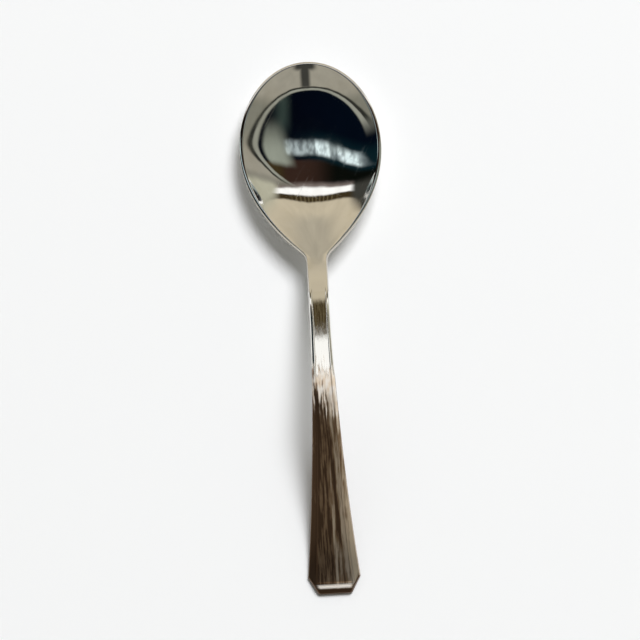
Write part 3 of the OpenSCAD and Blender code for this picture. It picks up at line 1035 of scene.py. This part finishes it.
def add_strips(nodes, colour, across, along, square):
    """Far wall: a brown band, a bright strip, a dark rail with ticks, and cream below it."""
    brown = nodes.mix(nodes.step(across, *BROWN_X), DARK_WALL, RED_WALL)
    brown = nodes.mix(nodes.step(across, *OLIVE_X), brown, OLIVE)
    ticks = nodes.step(nodes.math("SINE", nodes.times(across, TICK_RATE)), *TICK_EDGES)
    rail = nodes.mix(nodes.times(ticks, nodes.band(across, *TICKS_X)), OLIVE, LIGHT_OLIVE)
    strips = nodes.scaled(square, STRIP_BEND, nodes.scaled(across, STRIP_TILT, along))
    for edges, beyond in (
        (BROWN_Y, brown),
        (PINK_Y, PINK_GREY),
        (WHITE_Y, WHITE),
        (RAIL_Y, rail),
        (BRIGHT_Y, BRIGHT_CREAM),
        (CREAM_Y, CREAM),
        (DULL_Y, DULL_CREAM),
    ):
        colour = nodes.mix(nodes.step(strips, *edges), colour, beyond)
    pale_side = nodes.times(nodes.step(across, *PALE_SIDE_X), nodes.step(along, *PALE_SIDE_Y))
    colour = nodes.mix(pale_side, colour, GREEN_CREAM)
    dark_side = nodes.step(nodes.scaled(along, DARK_SIDE_SLANT, across), *DARK_SIDE_X)
    dark_side = nodes.times(dark_side, nodes.step(along, *DARK_SIDE_Y))
    dark = nodes.mix(nodes.step(along, *DARK_SIDE_PALER_Y), DARK_WALL, DARK_SPOT)
    return nodes.mix(dark_side, colour, dark)


def add_panes(nodes, colour, sky, across, along):
    """A row of panes of unlike brightness, which curves away on one side."""
    left = nodes.most(nodes.times(across, -1), 0)
    panes = nodes.scaled(nodes.times(left, left), PANES_BEND, along)
    haze = nodes.times(nodes.step(panes, *HAZE_TOP_Y), nodes.step(across, *HAZE_X))
    colour = nodes.mix(nodes.times(haze, nodes.step(panes, *HAZE_FOOT_Y)), colour, DEEP_TEAL)
    level = nodes.times(nodes.band(across, *PANES_X), PANES_SHARE)
    for band, share in zip(BRIGHT_PANES_X, BRIGHT_PANES_SHARES):
        level = nodes.most(level, nodes.times(nodes.band(across, *band), share))
    flat = nodes.add("ShaderNodeMapping", Vector=sky, Scale=SPOT_SCALE).outputs[0]
    spots = nodes.scaled(nodes.step(nodes.noise(flat, 1, 1), *SPOT_EDGES), SPOT_SHARE, LEAST_SPOT_SHARE)
    row = nodes.math("SUBTRACT", nodes.step(panes, *PANES_TOP_Y), nodes.step(panes, *PANES_FOOT_Y))
    level = nodes.math("MULTIPLY", nodes.times(level, spots), row, clamp=True)
    return nodes.mix(level, colour, PANE)


def ring_distance(nodes, across, along, square):
    """Distance from the middle of an oval ring, which is flatter on its far side."""
    lifted = nodes.math("SUBTRACT", along, RING_Y)
    reach = nodes.most(nodes.times(lifted, RING_FAR_STRETCH), nodes.times(lifted, RING_NEAR_STRETCH))
    ring = nodes.math("SQRT", nodes.scaled(reach, reach, square))
    return nodes.scaled(across, RING_TILT, ring)


def add_door(nodes, colour, across, along, ring):
    """A grey-green door inside the ring that brightens towards its foot."""
    slanted = nodes.scaled(along, DOOR_SLANT, across)
    wide = nodes.times(nodes.step(slanted, *DOOR_X), nodes.step(ring, *DOOR_RING))
    high = nodes.math("SUBTRACT", nodes.step(along, *DOOR_TOP_Y), nodes.step(along, *DOOR_FOOT_Y))
    return nodes.mix(nodes.times(wide, high), colour, GREEN_GREY)


def add_ring(nodes, colour, across, along, ring):
    """Pale walls low down all round, a dark gap and a thin line inside them, and a dark post with a bar."""
    left = nodes.step(along, *LEFT_FOOT_Y)
    right = nodes.step(along, *RIGHT_FOOT_Y)
    near_side = nodes.scaled(nodes.step(across, *RING_SIDES_X), nodes.math("SUBTRACT", right, left), left)
    wall = nodes.mix(nodes.band(along, *SHADE_Y), WALL, SHADED_WALL)
    for edges, beyond in ((LINE_RING, PALE_LINE), (GAP_RING, DARK_GAP), (WALL_RING, wall)):
        colour = nodes.mix(nodes.times(nodes.step(ring, *edges), near_side), colour, beyond)
    post = nodes.times(nodes.band(across, *POST_X), nodes.step(along, *POST_Y))
    bar = nodes.times(nodes.band(across, *CROSSBAR_X), nodes.step(along, *CROSSBAR_Y))
    return nodes.mix(nodes.most(post, bar), colour, DARK_SPOT)


def make_lamp():
    """A soft lamp that lights the table and casts the shadow. The metal doesn't mirror it."""
    lamp = bpy.data.lights.new("key", "AREA")
    lamp.energy = LAMP_WATTS
    lamp.size = LAMP_W * MM
    key = bpy.data.objects.new("key", lamp)
    bpy.context.scene.collection.objects.link(key)
    key.location = metres(LAMP_PLACE)
    key.rotation_euler = (Vector((0, 0, 0)) - key.location).to_track_quat("-Z", "Y").to_euler()
    key.visible_glossy = False


make_floor()
make_camera()
make_world()
make_lamp()
bpy.context.scene.view_settings.view_transform = "Standard"
